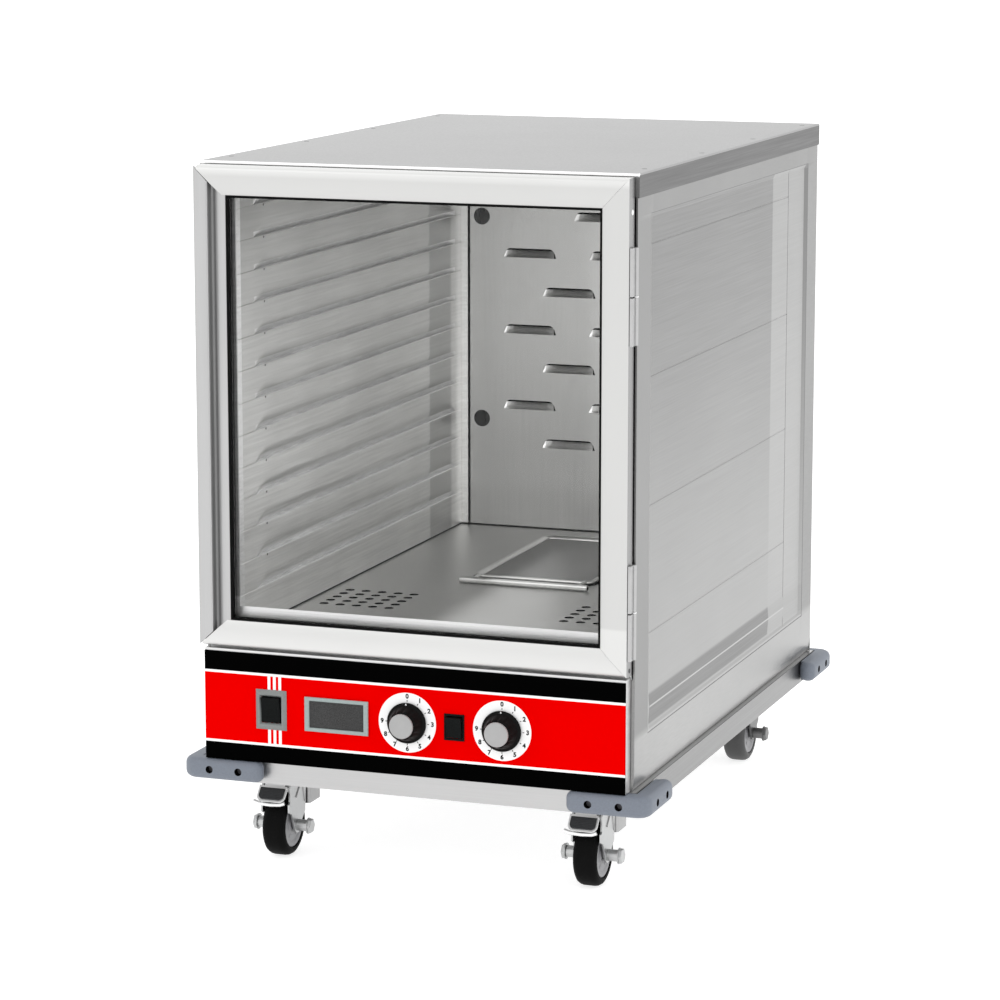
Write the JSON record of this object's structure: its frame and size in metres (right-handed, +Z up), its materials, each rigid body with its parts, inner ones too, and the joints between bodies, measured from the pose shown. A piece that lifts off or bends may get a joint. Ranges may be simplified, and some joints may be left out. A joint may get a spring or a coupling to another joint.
{
  "type": "proofing cabinet",
  "caption": "Half-height heated proofing cabinet with a clear hinged door, pressed pan ledges, a front control panel and swivel casters.",
  "frame": {"origin": "centre of the bounding box on the floor under the casters", "axes": "+X towards the hinge side, +Y from the front to the back, +Z up"},
  "size_m": [0.5806, 0.8488, 0.839],
  "materials": {
    "cabinet_steel": "brushed stainless steel",
    "interior_steel": "brushed stainless steel liner",
    "door_aluminium": "satin anodised extrusion",
    "clear_pane": "clear polycarbonate-like pane",
    "black_rubber": "black seal rubber",
    "overlay_print": "printed control overlay, black, red and white bands",
    "switch_black": "moulded black plastic",
    "knob_black": "fluted black knob",
    "knob_cap_metal": "spun aluminium cap",
    "bezel_grey": "moulded light grey plastic",
    "display_dark": "dark display window",
    "bumper_grey": "blue-grey moulded bumper",
    "caster_zinc": "bright zinc plated pressings",
    "caster_tyre": "black tread",
    "caster_hub": "grey moulded hub",
    "pedal_black": "dark grey pedal pad",
    "heater_steel": "sheathed heating element",
    "motor_black": "black painted motor"
  },
  "bodies": {
    "cabinet": {"base_frame": "cabinet_steel", "left_side_panel": "cabinet_steel", "right_side_panel": "cabinet_steel", "back_panel": "cabinet_steel", "lid": "cabinet_steel", "front_frame": "interior_steel", "left_rack": "interior_steel", "right_rack": "interior_steel", "inner_floor": "interior_steel", "inner_ceiling": "interior_steel", "rear_duct_panel": "interior_steel", "air_heater": "heater_steel", "water_heater": "heater_steel", "fan_motor": "motor_black", "power_inlet": "switch_black", "control_box": "cabinet_steel", "panel_overlay": "overlay_print", "power_bezel": "bezel_grey", "mode_bezel": "switch_black", "display_bezel": "bezel_grey", "display_window": "display_dark", "lower_hinge_body_leaf": "caster_zinc", "upper_hinge_body_leaf": "caster_zinc", "bumper_front_right": "bumper_grey", "bumper_back_right": "bumper_grey", "bumper_back_left": "bumper_grey", "bumper_front_left": "bumper_grey", "caster_plate_front_left": "caster_zinc", "caster_plate_front_right": "caster_zinc", "caster_plate_back_left": "caster_zinc", "caster_plate_back_right": "caster_zinc"},
    "door": {"door_frame": "door_aluminium", "door_glass": "clear_pane", "glazing_bead": "black_rubber", "door_seal": "black_rubber", "lower_hinge_door_leaf": "caster_zinc", "upper_hinge_door_leaf": "caster_zinc"},
    "heat_control": {"heat_knob": "knob_black", "heat_knob_cap": "knob_cap_metal"},
    "humidity_control": {"humidity_knob": "knob_black", "humidity_knob_cap": "knob_cap_metal"},
    "power_rocker": {"power_rocker": "switch_black"},
    "mode_rocker": {"mode_rocker": "switch_black"},
    "fan_wheel": {"fan_wheel": "caster_zinc"},
    "water_pan": {"water_pan": "interior_steel", "pan_cover": "interior_steel"},
    "swivel_front_left": {"caster_fork_front_left": "caster_zinc"},
    "wheel_front_left": {"caster_tyre_front_left": "caster_tyre", "caster_hub_front_left": "caster_hub"},
    "swivel_front_right": {"caster_fork_front_right": "caster_zinc"},
    "wheel_front_right": {"caster_tyre_front_right": "caster_tyre", "caster_hub_front_right": "caster_hub"},
    "swivel_back_left": {"caster_fork_back_left": "caster_zinc"},
    "wheel_back_left": {"caster_tyre_back_left": "caster_tyre", "caster_hub_back_left": "caster_hub"},
    "swivel_back_right": {"caster_fork_back_right": "caster_zinc"},
    "wheel_back_right": {"caster_tyre_back_right": "caster_tyre", "caster_hub_back_right": "caster_hub"},
    "brake_left": {"brake_pedal_left": "pedal_black"},
    "brake_right": {"brake_pedal_right": "pedal_black"}
  },
  "joints": [
    {"name": "door_hinge", "type": "hinge", "parent": "cabinet", "child": "door", "pos_m": [0.266, -0.3909, 0.5525], "axis": [0, 0, 1], "range_deg": [0, 180]},
    {"name": "heat_dial", "type": "hinge", "parent": "cabinet", "child": "heat_control", "pos_m": [-0.0047, -0.4024, 0.1965], "axis": [0, 1, 0], "range_deg": [0, 270]},
    {"name": "humidity_dial", "type": "hinge", "parent": "cabinet", "child": "humidity_control", "pos_m": [0.1119, -0.4024, 0.1965], "axis": [0, 1, 0], "range_deg": [0, 270]},
    {"name": "power_switch", "type": "hinge", "parent": "cabinet", "child": "power_rocker", "pos_m": [-0.1755, -0.4024, 0.198], "axis": [1, 0, 0], "range_deg": [0, 14]},
    {"name": "mode_switch", "type": "hinge", "parent": "cabinet", "child": "mode_rocker", "pos_m": [0.0535, -0.4024, 0.1957], "axis": [1, 0, 0], "range_deg": [0, 14]},
    {"name": "fan_spin", "type": "hinge", "parent": "cabinet", "child": "fan_wheel", "pos_m": [0.165, 0.2371, 0.2], "axis": [0, 0, 1], "continuous": true},
    {"name": "water_pan_lift", "type": "slide", "parent": "cabinet", "child": "water_pan", "axis": [0, 0, 1], "range_m": [0, 0.1]},
    {"name": "swivel_front_left", "type": "hinge", "parent": "cabinet", "child": "swivel_front_left", "pos_m": [-0.196, -0.3049, 0.095], "axis": [0, 0, 1], "continuous": true},
    {"name": "roll_front_left", "type": "hinge", "parent": "swivel_front_left", "child": "wheel_front_left", "pos_m": [-0.196, -0.3219, 0.0375], "axis": [1, 0, 0], "continuous": true},
    {"name": "swivel_front_right", "type": "hinge", "parent": "cabinet", "child": "swivel_front_right", "pos_m": [0.196, -0.3049, 0.095], "axis": [0, 0, 1], "continuous": true},
    {"name": "roll_front_right", "type": "hinge", "parent": "swivel_front_right", "child": "wheel_front_right", "pos_m": [0.196, -0.3219, 0.0375], "axis": [1, 0, 0], "continuous": true},
    {"name": "swivel_back_left", "type": "hinge", "parent": "cabinet", "child": "swivel_back_left", "pos_m": [-0.196, 0.3211, 0.095], "axis": [0, 0, 1], "continuous": true},
    {"name": "roll_back_left", "type": "hinge", "parent": "swivel_back_left", "child": "wheel_back_left", "pos_m": [-0.196, 0.3041, 0.0375], "axis": [1, 0, 0], "continuous": true},
    {"name": "swivel_back_right", "type": "hinge", "parent": "cabinet", "child": "swivel_back_right", "pos_m": [0.196, 0.3211, 0.095], "axis": [0, 0, 1], "continuous": true},
    {"name": "roll_back_right", "type": "hinge", "parent": "swivel_back_right", "child": "wheel_back_right", "pos_m": [0.196, 0.3041, 0.0375], "axis": [1, 0, 0], "continuous": true},
    {"name": "brake_left", "type": "hinge", "parent": "swivel_front_left", "child": "brake_left", "pos_m": [-0.196, -0.3309, 0.087], "axis": [1, 0, 0], "range_deg": [0, 12]},
    {"name": "brake_right", "type": "hinge", "parent": "swivel_front_right", "child": "brake_right", "pos_m": [0.196, -0.3309, 0.087], "axis": [1, 0, 0], "range_deg": [0, 12]}
  ]
}
